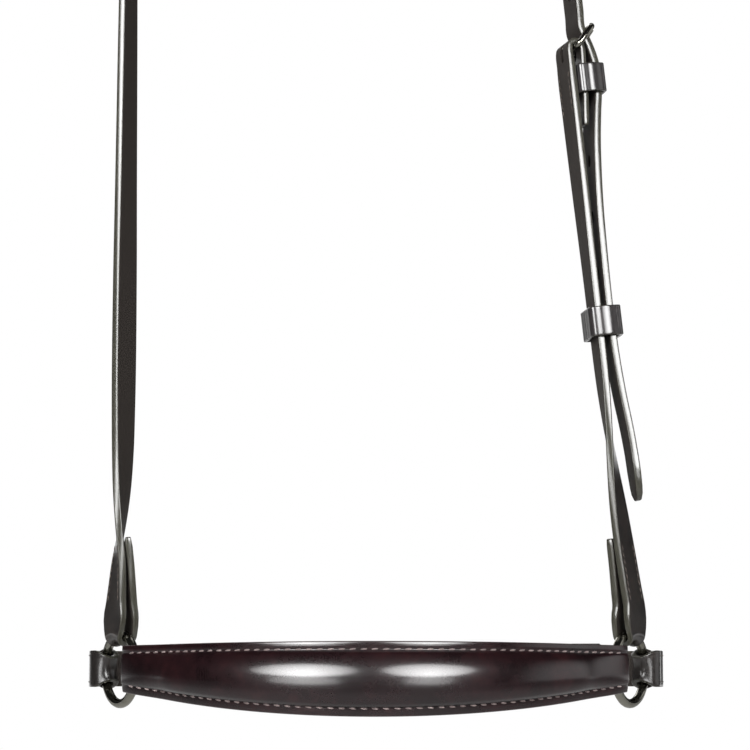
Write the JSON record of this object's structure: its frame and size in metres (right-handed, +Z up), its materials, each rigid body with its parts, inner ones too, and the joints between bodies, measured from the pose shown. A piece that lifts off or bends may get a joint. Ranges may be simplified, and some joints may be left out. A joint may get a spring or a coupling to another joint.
{
  "type": "drop noseband",
  "caption": "Drop noseband of a riding bridle: padded nosepiece and buckled chin strap between rings, on a head strap over the poll with its own buckle and keepers.",
  "frame": {"origin": "middle of the head strap's underside where it lies over the poll", "axes": "+Z up, -Y to the front of the horse's face, +X to the horse's near side, where the straps buckle"},
  "size_m": [0.258, 0.1558, 0.4737],
  "materials": {
    "bridle_leather": "glossy dark havana bridle leather",
    "nosepiece_leather": "polished dark havana leather, stitched",
    "lining_leather": "soft matt lining leather",
    "padding_felt": "felt filler",
    "polished_steel": "polished stainless steel"
  },
  "bodies": {
    "headpiece": {"head_strap": "bridle_leather", "cheek_strap": "bridle_leather", "head_buckle": "polished_steel", "head_fixed_keeper": "bridle_leather"},
    "head_tongue": {"head_tongue": "polished_steel"},
    "head_runner": {"head_runner": "bridle_leather"},
    "off_ring": {"off_ring": "polished_steel"},
    "near_ring": {"near_ring": "polished_steel"},
    "nosepiece": {"nose_cover": "nosepiece_leather", "nose_padding": "padding_felt", "nose_lining": "lining_leather", "off_chape": "nosepiece_leather", "near_chape": "nosepiece_leather"},
    "chin": {"chin_strap": "bridle_leather", "chin_buckle_strap": "bridle_leather", "chin_buckle": "polished_steel", "chin_fixed_keeper": "bridle_leather"},
    "chin_tongue": {"chin_tongue": "polished_steel"},
    "chin_runner": {"chin_runner": "bridle_leather"}
  },
  "joints": [
    {"name": "off_ring_turn", "type": "hinge", "parent": "headpiece", "child": "off_ring", "pos_m": [-0.09645, 0, -0.451], "axis": [-0.848, -0.5299, 0], "continuous": true},
    {"name": "near_ring_turn", "type": "hinge", "parent": "headpiece", "child": "near_ring", "pos_m": [0.12605, 0, -0.451], "axis": [0.848, -0.5299, 0], "continuous": true},
    {"name": "nosepiece_swing", "type": "hinge", "parent": "headpiece", "child": "nosepiece", "pos_m": [0.0148, 0, -0.451], "axis": [1, 0, 0], "range_deg": [-10, 10]},
    {"name": "chin_swing", "type": "hinge", "parent": "headpiece", "child": "chin", "pos_m": [0.0148, 0, -0.451], "axis": [1, 0, 0], "range_deg": [-10, 10]},
    {"name": "head_tongue_hinge", "type": "hinge", "parent": "headpiece", "child": "head_tongue", "pos_m": [0.10267, 0.0008, -0.17471], "axis": [-0.2745, 0.9612, -0.0288], "range_deg": [0, 8]},
    {"name": "head_runner_slide", "type": "slide", "parent": "headpiece", "child": "head_runner", "axis": [-0.1045, 0, 0.9945], "range_m": [-0.01, 0.04]},
    {"name": "chin_tongue_hinge", "type": "hinge", "parent": "chin", "child": "chin_tongue", "pos_m": [0.0666, 0.0648, -0.451], "axis": [0, 0, -1], "range_deg": [0, 8]},
    {"name": "chin_runner_slide", "type": "slide", "parent": "chin", "child": "chin_runner", "axis": [-0.9659, 0.2588, 0], "range_m": [-0.008, 0.001]}
  ]
}
